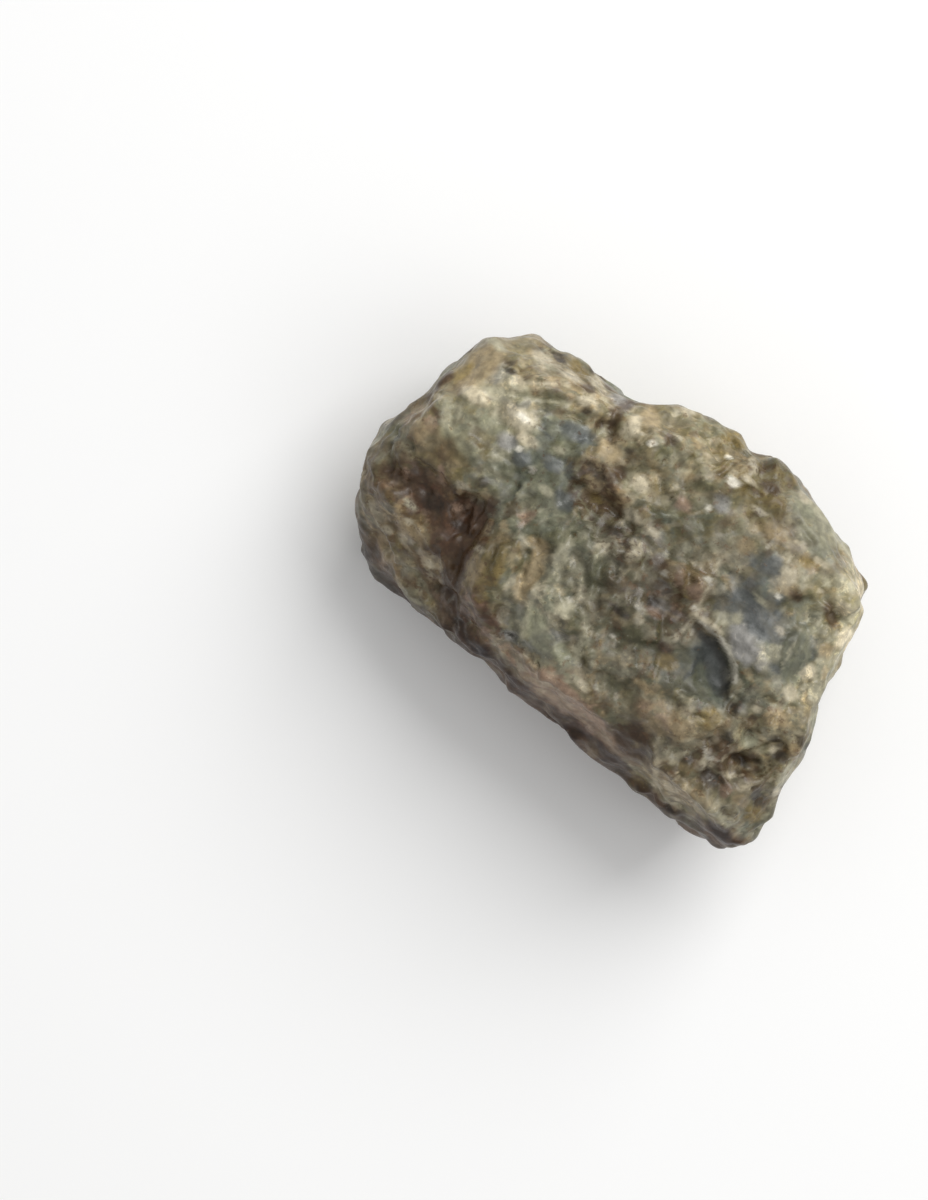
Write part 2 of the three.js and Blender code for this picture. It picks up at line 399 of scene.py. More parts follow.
def broken(mesh, points, normals):
    """How far the break moves each point along its normal."""
    level = smooth(0.25, 0.75, normals[:, 2])
    dull = 1 - POLISH * calm(points)
    swell = 0.40 * layered(points, 7.0, 5.0) + 0.14 * layered(points, 2.4, 71.0)
    blocks = soft_facets(mesh, points, *BLOCKS)
    chips = soft_facets(mesh, points, *CHIPS)
    crumbs = soft_facets(mesh, points, *CRUMBS)
    rough = 0.45 + 0.9 * smooth(-0.35, 0.45, layered(points, 9.0, 23.0, 2))
    rough *= (0.5 + 0.5 * level) * dull
    pits = -0.34 * smooth(0.30, 0.62, noise_at(points, 1.25, 83.0)) * rough
    steps = sum(terraces(points, *kind) for kind in TERRACES)
    coarse = swell + blocks * (0.6 + 0.4 * level) * dull
    return coarse + (chips + crumbs) * rough + pits + steps * (1 - level)


def sculpt(mesh):
    """Breaks the even mesh, shapes its upper face, draws in its outline and wears its sides."""
    co = relaxed(mesh, coordinates(mesh), 9)
    set_coordinates(mesh, co)
    normals = relaxed(mesh, vertex_normals(mesh), 12)
    normals /= np.linalg.norm(normals, axis=1)[:, None]
    clear_of_floor = smooth(0.1, 2.2, co[:, 2])
    facing_up = smooth(0.15, 0.6, normals[:, 2]) * smooth(12, 17, co[:, 2])

    co = co + normals * (broken(mesh, co, normals) * clear_of_floor)[:, None]
    co[:, 2] += upper_relief(co) * facing_up
    for centre, half, shift in NUDGES:
        co[:, :2] += ellipse(co, centre, half, 0, 0.7)[:, None] * np.array(shift)
    worn = SIDE_WEAR * (1 - smooth(0.2, 0.6, normals[:, 2]))
    co += worn[:, None] * (relaxed(mesh, co, SIDE_PASSES) - co)
    set_coordinates(mesh, co)


def fit_to_box(mesh):
    """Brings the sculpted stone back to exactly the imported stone's box, flat on its resting face."""
    co = coordinates(mesh)
    low, high = (np.array(corner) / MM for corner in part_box(NODE))
    co[:, 2] = np.maximum(co[:, 2], 0)
    now_low, now_high = co.min(0), co.max(0)
    co = low + (co - now_low) * (high - low) / (now_high - now_low)
    set_coordinates(mesh, co)
    return co


# ---------------------------------------------------------------- the colours

MINERALS = {
    "white": rgb(203, 198, 183),
    "cream": rgb(177, 167, 143),
    "tan": rgb(146, 129, 98),
    "ochre": rgb(124, 107, 64),
    "olive": rgb(110, 99, 64),
    "moss": rgb(84, 82, 58),
    "sage": rgb(126, 125, 103),
    "pale": rgb(156, 151, 128),
    "grey": rgb(106, 100, 82),
    "teal": rgb(90, 94, 80),
    "slate": rgb(82, 85, 84),
    "lavender": rgb(136, 134, 130),
    "ink": rgb(60, 63, 61),
    "rose": rgb(144, 120, 101),
    "brown": rgb(86, 66, 44),
    "rust": rgb(88, 59, 43),
    "umber": rgb(64, 46, 31),
    "black": rgb(38, 29, 20),
}

# Limits of every colour, in linear light.
DARKEST = 0.004
LIGHTEST = 0.9

LIGHT = ("white", "cream", "pale", "tan", "lavender")
DARK = ("brown", "rust", "umber", "black", "moss")

# Layers of grains: how far apart, how strong, how stretched, and which way.
GRAIN_LAYERS = [(2.6, 0.35, 1.3, 30), (1.5, 0.52, 1.5, -60), (0.85, 0.36, 1.2, 20)]

# The sides are a patchwork of regions, each with a colour and its grains, and of stray marks.
REGIONS = [
    ("sage", "sage grey teal pale olive"),
    ("grey", "grey sage olive tan moss brown"),
    ("olive", "olive tan brown moss grey"),
    ("brown", "brown umber olive tan"),
    ("tan", "tan cream grey olive brown"),
    ("teal", "teal slate sage moss pale"),
    ("pale", "pale cream sage grey tan"),
]
REGION_SPACING = 7.0
REGION_BLUR = 14  # passes that soften the borders of the regions

# The side that faces -Y is painted dark reddish brown, partly a stain and partly painted shade and
# painted red reflected light: the shares of red, green and blue that are left.
STAIN_AND_SHADE = np.array([0.33, 0.22, 0.18])

# Random marks, mostly on the sides: how many, their sizes, how well they cover, and of what.
STRAY_MARKS = 420
STRAY_SIZES = (0.4, 1.7)
STRAY_COVER = (0.3, 0.8)
STRAY_MINERALS = ("cream", "pale", "tan", "white", "umber", "black", "moss", "brown", "teal", "ochre")

# Broad grounds, the later over the earlier, a few of them partly painted shade: centre, half size,
# turn, mineral, cover, its grains.
GROUNDS = [
    ((-8, 0), (24, 20), 0, "grey", 0.6, "grey sage olive tan moss brown"),
    ((24, 8), (7, 11), 0, "sage", 0.7, "cream tan sage pale grey olive"),
    ((0, 12), (14, 8), 0, "olive", 0.6, "olive tan grey sage cream brown moss"),
    ((5, -2), (9, 7), 0, "moss", 0.7, "moss brown grey tan cream olive umber"),
    ((23, -9), (8, 7), 0, "olive", 0.75, "cream umber tan moss brown pale black grey"),
    # The brown, umber and rust grounds of the left end: partly a brown stain, partly painted shade and
    # painted red reflected light, darkest in its hollow.
    ((-21.5, -11), (10, 7.5), 0, "brown", 0.95, "brown umber olive moss tan brown grey"),
    ((-20.5, -6.8), (6.5, 2.4), 8, "umber", 0.75, "umber rust black rust rose"),
    ((-16.5, -8.5), (2.4, 3.6), -10, "rust", 0.8, "umber rust black brown"),
    ((-20, -12.5), (6, 2.6), 0, "brown", 0.6, "olive brown moss tan cream"),
    ((-21, -1.6), (8.0, 2.6), 4, "olive", 0.6, "sage grey olive pale moss"),
    ((-24.2, -2.2), (3.2, 1.9), 10, "brown", 0.7, "olive brown tan"),
    ((-27.2, -0.9), (1.8, 1.6), 0, "tan", 0.8, "tan rose brown"),
    ((-21, 2.4), (6.0, 2.6), 6, "sage", 0.7, "sage grey olive pale teal"),
    ((-12, -1), (7, 4), -10, "teal", 0.75, "teal sage grey moss pale"),
    ((-12.8, 4.6), (4.2, 5.4), 10, "teal", 0.85, "teal slate sage moss"),
    ((-21, 7.4), (5.5, 2.4), 14, "pale", 0.7, "pale cream sage grey lavender"),
    ((-16.5, 11.8), (6.5, 3.2), 14, "tan", 0.7, "cream tan umber sage olive moss"),
    ((-24.4, 12.2), (2.8, 1.9), 36, "olive", 0.75, "olive tan"),
    ((-25.6, 8.0), (1.9, 3.2), -4, "tan", 0.85, "tan grey"),
    ((-3.5, -3.6), (6.0, 3.4), -50, "sage", 0.7, "sage teal grey moss pale"),
    ((-4.0, -9.5), (4.0, 6.5), 12, "grey", 0.8, "sage pale grey teal cream"),
    ((-3.2, -12.2), (3.6, 2.2), -12, "teal", 0.6, "grey teal lavender"),
    ((6.5, -10.0), (4.8, 4.2), 0, "grey", 0.7, "grey tan pale brown sage moss"),
    ((-10.8, -10.6), (2.0, 5.2), 10, "olive", 0.85, "olive ochre brown"),
    ((-7.0, 4.4), (4.2, 2.6), -12, "brown", 0.8, "brown umber tan moss black"),
    ((-1.6, 1.2), (3.6, 2.0), 0, "umber", 0.6, "umber brown moss cream"),
    ((-2.6, 12.4), (2.2, 1.9), 0, "teal", 0.7, "teal grey moss pale"),
    ((-1.4, 16.8), (4.0, 2.2), 14, "olive", 0.6, "tan sage olive"),
    ((7.8, 15.8), (3.2, 4.0), 0, "olive", 0.95, "olive brown ochre moss"),
    ((14.4, 16.0), (4.2, 2.4), -18, "sage", 0.85, "pale sage grey"),
    ((3.0, 7.8), (5.0, 2.4), 0, "moss", 0.75, "olive moss grey teal"),
    ((7.0, 2.2), (3.0, 1.8), 12, "brown", 0.8, "rose brown tan ochre umber"),
    ((6.0, -0.8), (2.6, 1.6), -10, "brown", 0.7, "brown umber rose lavender"),
    ((14.4, 4.4), (4.0, 3.0), 0, "slate", 0.9, "slate grey"),
    ((12.8, 8.0), (1.8, 2.6), 0, "slate", 0.75, "slate grey teal"),
    ((17.8, 9.6), (2.2, 3.4), 10, "moss", 0.7, "olive grey moss tan"),
    ((20.6, 2.8), (2.2, 4.6), 6, "teal", 0.75, "slate grey sage teal"),
    ((16.0, 0.6), (2.7, 1.7), -26, "lavender", 0.90, "lavender pale grey"),
    ((14.4, -3.5), (3.3, 2.0), -28, "slate", 0.95, "slate teal"),
    ((14.8, -5.4), (3.4, 2.0), -8, "teal", 0.8, "teal moss grey"),
    ((12.2, -7.0), (1.6, 2.2), 0, "moss", 0.7, "teal moss grey"),
    ((20.0, -2.8), (2.2, 2.4), 0, "teal", 0.6, "grey sage teal moss"),
    ((24.8, 1.4), (1.8, 5.0), 8, "pale", 0.6, "pale sage tan cream olive"),
    ((22.4, -11.0), (4.6, 2.2), 8, "umber", 0.6, "umber brown cream grey"),
    ((13.2, -11.4), (2.6, 1.8), 0, "rose", 0.6, "rose brown tan grey"),
    ((-9.8, -14.6), (4.2, 1.7), -14, "rust", 0.80, "umber rust rose"),
    # The rose band along the lower rim: partly a rose mineral, partly a painted highlight where the rim
    # catches the light.
    ((4.0, -16.0), (10.0, 1.3), -4, "rose", 0.8, "rose brown cream"),
    # An umber ground along the side that faces -Y: partly its stain, partly painted shade and painted
    # red reflected light.
    ((7.0, -18.6), (15.0, 1.2), 0, "umber", 0.9, "umber brown"),
    ((12.6, -15.2), (2.8, 1.6), -12, "umber", 0.85, "umber brown"),
    ((20.0, -16.6), (4.6, 2.0), 0, "tan", 0.75, "tan grey cream brown"),
    # Umber and rust grounds along the side that faces -Y: partly its stain, partly painted shade and
    # painted red reflected light.
    ((26.4, -18.2), (3.8, 1.5), 6, "umber", 0.95, "umber brown"),
    ((-16.0, -16.8), (10.0, 1.3), 0, "rust", 0.9, "rust brown tan rust"),
    ((23.8, 13.8), (2.0, 1.8), 0, "cream", 0.6, "pale cream tan"),
]

# Small marks: for each mineral, their places, half sizes and turns. A few dark ones are partly painted
# shade.
MARK_COVER = 0.78
MARKS = {
    "black": [
        # The first two black marks lie in the hollow of the left end: partly dark mineral, partly
        # painted shade.
        (-20.6, -7.2, 1.9, 0.9, 10), (-17.0, -7.8, 0.8, 0.7, 0), (-22.4, 9.2, 0.75, 0.45, 10),
        (-17.5, -2.3, 0.8, 0.6, 30), (-13.9, -14.2, 1.0, 0.7, 0), (-15.3, 15.2, 0.4, 0.3, 0),
        (-10.1, 11.2, 0.5, 0.6, 0), (-6.8, 9.9, 0.5, 0.4, 0), (-8.6, 5.9, 1.4, 0.5, -10),
        (5.2, -1.6, 0.8, 0.5, 20), (3.0, -4.7, 1.4, 0.5, 0), (19.3, -5.2, 0.6, 0.9, 10),
        (26.9, -6.8, 0.9, 0.6, 10), (25.0, -5.5, 0.6, 0.5, 0), (27.2, -4.0, 0.4, 0.7, 20),
        (28.8, -3.7, 0.5, 0.7, 0), (20.8, -8.4, 0.6, 0.9, 20), (27.8, -11.7, 1.2, 0.8, 0),
        (22.0, -13.2, 1.5, 0.9, -10), (23.2, -9.8, 1.3, 0.4, 0),
        (-13.0, 10.6, 0.7, 0.45, 30), (-19.3, 13.9, 1.1, 0.45, 0), (-2.6, 2.0, 1.0, 0.6, 0),
        (24.6, -8.6, 0.7, 0.5, 0), (18.6, -13.2, 0.7, 0.5, 30),
    ],
    "umber": [
        # The first two umber marks lie in the dark core of the left end: partly brown stain, partly
        # painted shade.
        (-24.0, -7.0, 1.4, 0.9, 0), (-26.4, -7.4, 1.2, 0.7, 20), (-17.0, -11.5, 1.0, 0.6, -30),
        (-12.7, 14.8, 0.6, 0.5, 0), (-14.4, 12.8, 1.0, 0.5, 10), (-11.0, 10.4, 0.5, 0.7, 0),
        (21.6, 8.9, 1.5, 0.75, -30), (3.2, 2.0, 1.1, 0.8, 0), (-3.8, 13.4, 0.9, 0.7, 0),
        (7.9, 16.0, 1.4, 0.6, 10), (12.6, -13.9, 1.7, 0.9, -10), (11.9, -15.6, 1.4, 0.9, -15),
        # On the side that faces -Y: partly its stain, partly painted shade.
        (15.6, -18.7, 3.0, 0.5, 0),
        (9.2, -4.9, 0.9, 0.6, 0), (-6.0, 7.4, 0.8, 0.9, 0), (17.2, 8.2, 0.9, 0.5, 0),
    ],
    "moss": [
        (-8.4, -6.8, 0.7, 1.6, 0), (-7.6, -2.8, 1.1, 0.8, 0), (-1.0, -3.6, 1.1, 1.3, -50),
        (-16.8, 9.4, 1.5, 0.9, 28), (5.6, -5.6, 1.2, 0.9, 0), (7.0, -11.4, 1.2, 0.9, 0),
        (2.0, 11.6, 1.6, 0.7, 30), (24.2, -0.9, 0.8, 0.6, 0), (-0.4, -8.2, 0.6, 1.2, 15),
    ],
    "slate": [
        (-12.4, 8.2, 2.2, 1.1, 10), (-15.6, 2.2, 1.0, 0.8, 0), (-9.2, 1.4, 1.4, 1.0, 0),
        (-12.6, 3.6, 1.2, 0.9, 0), (12.9, 4.7, 1.5, 0.8, 10), (15.4, 3.2, 2.0, 0.9, -25),
        (13.4, 9.2, 0.9, 1.1, 0), (20.0, 0.6, 0.9, 0.6, -20), (-14.6, -12.9, 0.8, 0.8, 0),
    ],
    "ochre": [
        (-27.0, 5.8, 0.9, 1.5, -10), (-16.6, 14.2, 1.1, 0.9, 0), (-6.2, 3.4, 1.0, 0.6, -20),
        (17.6, -8.2, 1.1, 1.5, 20), (10.4, -6.0, 1.1, 0.9, 0), (-10.4, -8.6, 0.6, 2.2, 8),
        (-14.8, -16.4, 1.3, 0.5, 0), (28.4, -13.4, 0.9, 1.1, 0), (-19.4, -16.4, 1.4, 0.5, 0),
        (2.0, 18.4, 1.5, 0.8, 10), (16.0, 12.0, 1.1, 0.6, 0),
    ],
    "tan": [
        (-12.6, -10.6, 0.9, 1.7, 20), (-7.0, -7.4, 0.8, 2.6, 4), (-8.6, -4.2, 1.3, 0.6, 10),
        (-8.6, 8.6, 1.7, 1.1, 0), (-7.0, 14.2, 1.3, 1.1, 20), (15.8, -10.6, 1.5, 1.3, 20),
        (23.6, -4.0, 1.3, 1.0, 20), (-20.6, -11.0, 2.0, 0.8, 0), (10.0, -9.6, 1.5, 0.4, 0),
        (19.4, -8.2, 0.5, 1.3, 10), (26.2, -13.2, 1.0, 0.7, 0), (13.7, -12.4, 1.2, 0.8, 0),
        (11.0, 12.3, 1.4, 0.8, 0), (9.6, 9.2, 1.1, 0.9, 0), (23.4, 5.4, 0.8, 0.9, 0),
    ],
    "rose": [
        (8.4, 1.9, 1.0, 0.8, -20), (-11.6, -2.8, 0.7, 1.1, 10), (-24.9, -6.7, 0.8, 0.35, -45),
        (-18.2, -6.2, 0.6, 0.4, 0), (6.0, -2.4, 0.9, 0.6, 0), (24.2, -13.3, 0.6, 0.9, 30),
        (-13.4, -15.4, 1.1, 0.3, 0), (-21.7, -4.3, 0.9, 0.35, -50), (-18.1, -6.3, 0.5, 0.4, 0),
        (1.4, 8.9, 1.1, 0.7, -20),
    ],
    "sage": [
        (-20.6, 3.2, 1.4, 0.9, 0), (-12.2, -3.7, 0.6, 0.6, 0), (21.8, 4.0, 0.3, 1.8, 10),
        (-3.9, -11.2, 1.6, 1.2, -20), (0.8, -12.4, 1.1, 1.1, 0), (22.6, -7.4, 1.1, 0.9, 0),
    ],
    "ink": [
        (14.9, -2.9, 2.7, 1.5, -26), (13.2, -3.0, 0.9, 1.3, 0), (16.4, -4.3, 1.2, 1.0, -40),
        (12.2, -1.5, 1.3, 0.5, -12), (12.9, -5.0, 0.35, 1.5, 15),
    ],
    "lavender": [
        (15.5, 1.1, 1.7, 1.0, -20), (16.7, -0.5, 1.3, 0.8, -30), (-19.2, 6.1, 1.0, 0.8, 0),
        (-10.9, 14.0, 1.3, 0.8, 10), (-18.0, 3.0, 1.2, 0.9, 0),
        (-5.2, -14.0, 1.0, 0.6, 20), (4.8, 11.3, 1.0, 0.8, -20),
    ],
    "pale": [
        (-26.0, 10.8, 1.7, 0.55, -6), (-22.0, 6.7, 1.6, 0.5, 20), (-13.0, 5.4, 0.7, 0.45, 0),
        (-11.4, 1.0, 0.9, 0.5, 0), (-5.4, -3.6, 0.6, 2.3, 28), (-2.0, -8.0, 1.1, 1.1, 0),
        (14.4, 5.5, 1.1, 0.3, -5), (13.6, 2.4, 0.55, 0.7, 20),
        (18.3, 16.0, 1.9, 0.7, -12), (14.2, 17.4, 1.7, 0.6, -14), (28.4, -8.2, 0.8, 1.5, 10),
        (-20.4, 15.0, 1.6, 0.4, 5), (25.5, 1.4, 0.8, 1.2, 0), (18.9, 2.0, 1.0, 0.8, -20),
        (20.4, 2.6, 0.2, 1.6, 10), (20.8, 12.5, 1.2, 0.7, -10),
        (-22.4, -9.0, 0.9, 0.4, 0), (2.0, -10.8, 0.4, 1.5, 28), (6.9, 7.2, 0.7, 0.5, 0),
        (25.6, -16.0, 1.7, 0.5, 0), (12.3, 1.4, 1.0, 0.8, 0), (4.6, 5.4, 0.5, 0.6, 0),
    ],
    "cream": [
        (-24.0, 4.6, 1.7, 0.9, 8), (-18.6, 5.7, 2.5, 1.2, 0), (-16.4, 4.2, 1.1, 0.6, 0),
        (-20.6, 12.6, 1.4, 0.6, 10), (-16.8, 12.9, 1.0, 0.6, 0), (-13.6, 11.6, 1.3, 0.5, 35),
        (-14.4, 14.3, 0.9, 0.7, 0), (-8.1, 12.2, 0.9, 1.3, 0),
        (-3.6, 7.8, 1.2, 1.0, 30), (-2.0, 4.4, 1.2, 0.6, 0), (0.4, 1.6, 0.7, 1.3, 10),
        (5.0, 16.6, 0.45, 1.3, 5), (5.6, 15.2, 1.1, 0.35, 5), (8.4, 13.3, 0.9, 0.35, 0),
        (11.8, 17.6, 0.9, 0.5, -10), (17.2, 12.9, 0.8, 0.35, 0), (15.4, 9.5, 0.8, 1.3, 10),
        (22.2, 10.4, 0.8, 0.7, 0), (24.4, 7.9, 1.0, 1.2, 0), (23.4, 2.4, 0.8, 0.8, 0),
        (23.1, -0.6, 0.9, 0.8, -20), (18.2, 4.2, 0.6, 0.4, 0), (0.8, 4.3, 0.9, 0.45, 0),
        (5.2, -4.0, 0.6, 0.5, 0), (9.4, -3.2, 0.35, 0.5, 0), (4.6, -13.6, 0.8, 0.5, -20),
        (1.2, -14.9, 1.0, 0.35, 0), (-13.3, -8.4, 0.6, 0.3, 0), (-21.4, -10.6, 0.5, 0.45, 0),
        (-16.8, -13.1, 0.6, 0.4, 0), (18.3, -17.8, 0.6, 0.6, 0), (29.0, -10.0, 0.5, 0.6, 0),
        (21.2, -4.2, 0.5, 0.3, 0), (20.2, -12.2, 0.3, 0.9, 40), (-19.0, -3.9, 0.8, 0.4, 10),
        (-27.2, 2.2, 0.6, 0.4, 0), (25.6, -6.6, 0.4, 0.4, 0), (23.6, -11.6, 0.7, 0.3, 30),
        (-4.2, 17.6, 0.9, 0.5, 20), (-22.8, -12.8, 0.7, 0.4, 0), (6.6, 4.5, 0.9, 0.3, 10),
    ],
    "white": [
        (-18.2, 5.9, 0.8, 0.45, 0), (-5.3, 11.9, 0.5, 0.35, 20), (2.3, 16.1, 0.4, 0.25, 0),
        (4.3, 14.0, 0.9, 0.5, 10), (4.2, -3.0, 0.6, 0.5, 0), (9.3, 0.6, 0.4, 0.3, 0),
        (3.8, 10.1, 0.4, 0.35, 0), (-16.6, 2.8, 0.35, 0.35, 0), (8.5, 3.9, 0.5, 0.3, 20),
        (-14.0, 1.9, 0.45, 0.35, 0), (3.9, -7.3, 0.3, 0.25, 0), (4.3, 1.4, 0.45, 0.3, 0),
        (15.6, 7.0, 0.35, 0.3, 0), (-2.2, -6.9, 0.35, 0.3, 0), (-12.5, -14.8, 0.25, 0.5, 0),
    ],
}

# Lines of one mineral, some of them painted shadow, some painted highlight: path, how far the line lies
# to the path's left, half width, mineral, cover.
LINES = [
    # Painted highlight: a pale line along the rim of the ledge, where it catches the light.
    ([(10.6, -0.3), (13.2, -0.4), (15.2, -1.0), (16.8, -2.0), (17.6, -3.2)], 0.0, 0.32, "white", 0.65),
    # Painted shade: a dark line at the foot of the ledge.
    (LEDGE, 0.55, 0.60, "black", 0.40),
    # Painted shadow: a dark brown band at the foot of the scarp.
    (SCARP[:-1], 1.0, 1.3, "umber", 0.80),
    # Painted shade: dark brown and black under the lower rim, where the side falls away, partly its
    # reddish brown.
    (RIM_CRACK, -0.7, 0.9, "umber", 0.85),
    (RIM_CRACK[:-1], -0.9, 0.5, "black", 0.60),
    (VALLEY, 0.0, 0.60, "umber", 0.65),
    (LEFT_EDGE, 0.0, 0.65, "umber", 0.85),
    ([(-28.4, 2.0), (-27.0, 1.0), (-25.6, 0.5)], 0.0, 0.35, "umber", 0.70),
    ([(9.0, 3.0), (9.4, 1.0), (9.9, -0.4), (9.6, -2.4)], 0.0, 0.25, "cream", 0.60),
    ([(9.8, 0.0), (11.4, 0.1), (13.0, 0.1)], 0.0, 0.30, "cream", 0.70),
    # Partly a painted highlight: the rose line along the lower rim, where it catches the light.
    ([(0.0, -15.3), (3.0, -15.0), (6.0, -15.3), (9.0, -15.9)], 0.0, 0.55, "rose", 0.80),
    ([(-6.3, -1.6), (-5.2, -4.0), (-3.9, -6.6)], 0.0, 0.30, "pale", 0.60),
    ([(0.4, -7.2), (1.4, -9.6), (2.4, -12.0)], 0.0, 0.32, "pale", 0.60),
    ([(2.8, -7.4), (3.8, -9.8), (5.0, -12.2)], 0.0, 0.25, "tan", 0.60),
    ([(-5.6, -9.6), (-4.6, -11.6), (-3.8, -13.6)], 0.0, 0.28, "pale", 0.50),
    ([(14.6, -13.2), (16.0, -15.4), (17.9, -17.6)], 0.0, 0.28, "cream", 0.55),
    ([(-21.8, 8.2), (-19.6, 9.6), (-17.6, 11.0)], 0.0, 0.25, "cream", 0.55),
    ([(-19.6, 7.6), (-17.4, 8.8), (-15.6, 10.0)], 0.0, 0.22, "pale", 0.50),
    ([(19.2, -11.0), (20.2, -11.6), (21.2, -11.2)], 0.0, 0.20, "white", 0.55),
    ([(-9.4, 3.4), (-7.0, 2.2), (-5.0, 2.0)], 0.0, 0.20, "sage", 0.50),
]

# Broad lighter and darker places of the upper face, partly the stone's own tone and partly painted
# light and shade where the face turns towards or away from the light: centre, half size, brightness.
TONES_AND_PAINTED_LIGHT = [
    ((-20.0, 7.5), (7.5, 4.5), 1.32),
    ((-8.5, 11.5), (6.5, 4.0), 1.30),
    ((-25.5, 2.5), (4.0, 3.5), 1.35),
    ((0.0, 14.5), (5.0, 3.0), 1.20),
    ((23.0, 10.5), (4.5, 5.5), 1.40),
    ((16.2, 0.3), (2.8, 1.8), 1.40),
    ((8.0, 15.2), (3.2, 4.2), 0.80),
    ((1.0, 2.0), (11.0, 4.5), 0.74),
    ((6.0, 7.0), (5.0, 2.8), 0.78),
    ((15.5, 4.4), (4.0, 1.8), 0.76),
    ((20.2, 3.2), (2.4, 3.6), 0.70),
    ((-3.8, 6.6), (2.4, 2.2), 1.30),
    ((-14.5, 14.0), (4.5, 1.8), 0.85),
    ((24.6, 10.0), (1.8, 3.5), 1.25),
    ((24.5, -14.0), (6.0, 2.5), 0.82),
    ((0.6, -10.5), (2.4, 2.5), 1.28),
    ((12.5, -6.6), (3.0, 2.0), 0.78),
    ((5.5, -4.0), (9.0, 3.6), 0.64),
    ((19.5, -5.5), (3.0, 2.5), 0.80),
    ((5.0, -9.5), (5.0, 3.0), 0.72),
    ((11.0, -14.0), (5.0, 2.0), 0.80),
    ((24.5, -8.0), (3.5, 3.5), 1.25),
    ((18.0, -11.5), (11.0, 3.5), 0.82),
    ((-3.8, -10.0), (2.5, 3.0), 1.35),
    ((-12.0, -7.0), (2.2, 4.5), 0.78),
    ((-9.0, -14.2), (4.5, 2.0), 0.75),
]


def index_of(names):
    """The numbers of some minerals in the palette."""
    return [list(MINERALS).index(name) for name in names.split()]


def wandering(points):
    """Slow and quick sideways wander in plan, which makes the edges of patches ragged."""
    slow = np.stack([layered(points, 3.6, shift) for shift in (7.0, 33.0)], 1)
    quick = np.stack([layered(points, 1.2, shift, 2) for shift in (15.0, 52.0)], 1)
    return slow, quick


def wandered(points, wander, size):
    """The points moved by the wander that suits a patch of that size."""
    slow, quick = wander
    moved = points.copy()
    moved[:, :2] += min(1.7, 0.42 * size) * slow + min(0.5, 0.30 * size) * quick
    return moved


def regions(mesh, points):
    """The broad colour of the sides and the underside, and which region each point is in."""
    cell, seeds = grains(points, REGION_SPACING, 1.0, 0)
    kind = rng.integers(len(REGIONS), size=len(seeds))
    bases = np.array([MINERALS[base] for base, _ in REGIONS])
    colour = relaxed(mesh, bases[kind[cell]], REGION_BLUR)
    colour *= 1 + 0.25 * layered(points, 11.0, 61.0)[:, None]
    return colour, kind[cell]


def ground_weights(points, wander, on_top):
    """How much each broad ground covers each point."""
    weights = []
    for centre, half, angle, _, cover, _ in GROUNDS:
        loose = wandered(points, wander, min(half))
        weights.append(ellipse(loose, centre, half, angle, 0.3) * cover * on_top)
    return weights


def grain_choices(kinds, weights, homes):
    """Which minerals the grains at some points may be: those of the last ground that covers them."""
    choices = [index_of(REGIONS[kind][1]) for kind in kinds[homes]]
    for (_, _, _, _, _, names), weight in zip(GROUNDS, weights):
        covered = np.nonzero(weight[homes] > rng.random(len(homes)) * 0.9 + 0.05)[0]
        indices = index_of(names)
        for i in covered:
            choices[i] = indices
    return choices


def nearest_points(points, seeds):
    """The point of the surface that is nearest to each seed."""
    tree = tree_of(points)
    return np.array([tree.find(seed)[1] for seed in seeds])


def over(colour, weight, other):
    """The colour with another laid over it, by each point's weight."""
    return colour + weight[:, None] * (other - colour)


def grounded(colour, weights):
    """The broad grounds over the colour, and how many of their minerals are light and dark."""
    light = np.full(len(colour), 0.22)
    dark = np.full(len(colour), 0.35)
    for (_, _, _, mineral, _, names), weight in zip(GROUNDS, weights):
        colour = over(colour, weight, MINERALS[mineral])
        named = names.split()
        light += weight * (sum(name in LIGHT for name in named) / len(named) - light)
        dark += weight * (sum(name in DARK for name in named) / len(named) - dark)
    return colour, light, dark


def grained(points, colour, kinds, weights, stillness):
    """The layers of grains over the colour, and the gloss of the grains."""
    gloss = np.zeros(len(points))
    palette = np.array(list(MINERALS.values()))
    for spacing, cover, stretch, angle in GRAIN_LAYERS:
        cell, seeds = grains(points, spacing, stretch, angle)
        choices = grain_choices(kinds, weights, nearest_points(points, seeds))
        mineral = np.array([c[int(rng.integers(len(c)))] for c in choices])
        shade = np.exp(rng.normal(0, 0.14, len(seeds)))
        strength = cover * (0.3 + 0.9 * rng.random(len(seeds)))
        grain_colour = palette[mineral] * shade[:, None]
        weight = strength[cell] * (1 - 0.6 * stillness)
        colour = over(colour, weight, grain_colour[cell])
        gloss += 0.3 * rng.random(len(seeds))[cell]
    return colour, gloss


def strayed(points, colour, wander, on_top):
    """The random marks over the colour."""
    for _ in range(STRAY_MARKS):
        centre = points[rng.integers(len(points))]
        mineral = STRAY_MINERALS[rng.integers(len(STRAY_MINERALS))]
        size = rng.uniform(*STRAY_SIZES)
        away = wandered(points, wander, size) - centre
        weight = 1 - smooth(0.65, 1.3, np.sqrt((away**2).sum(1)) / size)
        weight *= rng.uniform(*STRAY_COVER) * (1 - 0.75 * on_top)
        colour = over(colour, weight, MINERALS[mineral])
    return colour


def marked(points, colour, wander, on_top):
    """The placed marks and lines over the colour, some of them painted shade and painted highlights."""
    for mineral, places in MARKS.items():
        for x, y, half_length, half_width, angle in places:
            loose = wandered(points, wander, half_width)
            inside = ellipse(loose, (x, y), (half_length, half_width), angle, 0.35)
            colour = over(colour, inside * on_top * MARK_COVER, MINERALS[mineral])
    for path, left, half, mineral, cover in LINES:
        _, side = path_distance(wandered(points, wander, half), path)
        inside = 1 - smooth(0.5 * half, 1.4 * half, np.abs(side - left))
        colour = over(colour, inside * on_top * cover, MINERALS[mineral])
    return colour


